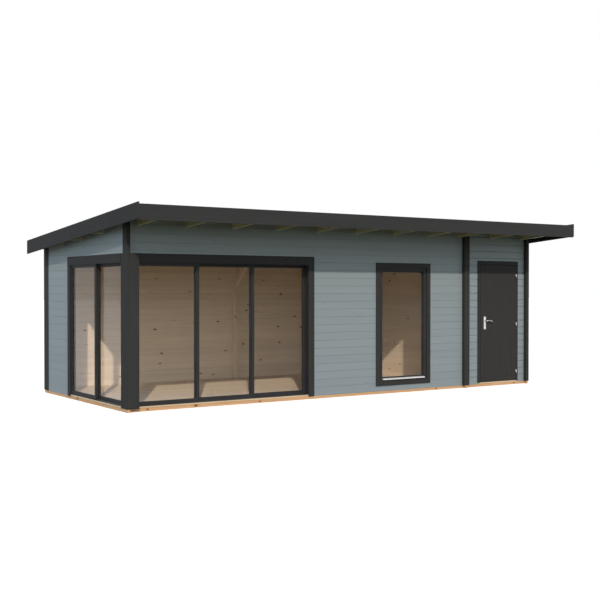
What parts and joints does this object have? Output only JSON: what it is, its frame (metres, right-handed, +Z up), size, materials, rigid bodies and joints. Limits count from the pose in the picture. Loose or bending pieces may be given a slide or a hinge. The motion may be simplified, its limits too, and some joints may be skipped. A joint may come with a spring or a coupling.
{
  "type": "garden office pod",
  "caption": "Log-built garden office pod with a low-pitch roof and deep front eaves, a corner of sliding glazed doors, a tall fixed window and a store room with its own door.",
  "frame": {"origin": "on the ground under the middle of the roof's plan", "axes": "+X along the front from the glazed corner towards the store room, +Y from front to back, +Z up"},
  "size_m": [7.744, 4.112, 2.6617],
  "materials": {
    "base_timber": "treated, unpainted",
    "inner_timber": "planed, unpainted",
    "painted_logs": "blue-grey paint",
    "charcoal_trim": "charcoal paint",
    "charcoal_frame": "charcoal satin",
    "door_paint": "charcoal paint",
    "sill_timber": "pale, oiled",
    "roof_sheet": "matt",
    "track_metal": "dark anodised",
    "glass": "clear",
    "white_fittings": "white gloss",
    "lever_metal": "satin"
  },
  "bodies": {
    "building": {"base_cross_beams": "base_timber", "base_long_beams": "base_timber", "floor_joists": "base_timber", "floors": "inner_timber", "front_wall_over_doors": "painted_logs", "front_wall_centre": "painted_logs", "front_walls_beside_store_door": "painted_logs", "front_wall_over_store_door": "painted_logs", "left_wall_over_doors": "painted_logs", "left_wall_back": "painted_logs", "right_wall": "painted_logs", "partition_wall": "inner_timber", "back_walls": "painted_logs", "purlins": "inner_timber", "eaves_rafters": "inner_timber", "roof_deck": "inner_timber", "roof_covering": "roof_sheet", "fascia_boards": "charcoal_trim", "verge_boards": "charcoal_trim", "frame_tie": "inner_timber", "frame_posts": "inner_timber", "knee_braces": "inner_timber", "corner_post": "charcoal_trim", "log_end_trims": "charcoal_trim", "opening_casings": "charcoal_trim", "sills": "sill_timber", "slider_tracks": "track_metal", "slider_frames": "charcoal_frame", "store_door_frame": "charcoal_frame", "fixed_sashes": "charcoal_frame", "fixed_sash_glass": "glass", "window_frame": "charcoal_frame", "window_glass": "glass", "window_weather_bar": "white_fittings", "hinge_pins": "white_fittings"},
    "middle_sash": {"front_middle_sash": "charcoal_frame", "front_middle_glass": "glass"},
    "right_sash": {"front_right_sash": "charcoal_frame", "front_right_glass": "glass"},
    "side_sash": {"side_sliding_sash": "charcoal_frame", "side_sliding_glass": "glass"},
    "store_door": {"door_leaf": "door_paint", "hinge_sockets": "white_fittings", "handle_plates": "white_fittings"},
    "door_lever": {"door_levers": "lever_metal"}
  },
  "joints": [
    {"name": "middle_sash_slide", "type": "slide", "parent": "building", "child": "middle_sash", "axis": [-1, 0, 0], "range_m": [0, 0.8935]},
    {"name": "right_sash_slide", "type": "slide", "parent": "building", "child": "right_sash", "axis": [-1, 0, 0], "range_m": [0, 1.787]},
    {"name": "side_sash_slide", "type": "slide", "parent": "building", "child": "side_sash", "axis": [0, -1, 0], "range_m": [0, 0.8935]},
    {"name": "store_door_hinge", "type": "hinge", "parent": "building", "child": "store_door", "pos_m": [3.3835, -1.2513, 1], "axis": [0, 0, 1], "range_deg": [0, 100]},
    {"name": "door_lever_turn", "type": "hinge", "parent": "store_door", "child": "door_lever", "pos_m": [2.658, -1.224, 1.075], "axis": [0, 1, 0], "range_deg": [0, 40], "stiffness_Nm_per_rad": 1.2, "springref_deg": -22.92}
  ]
}
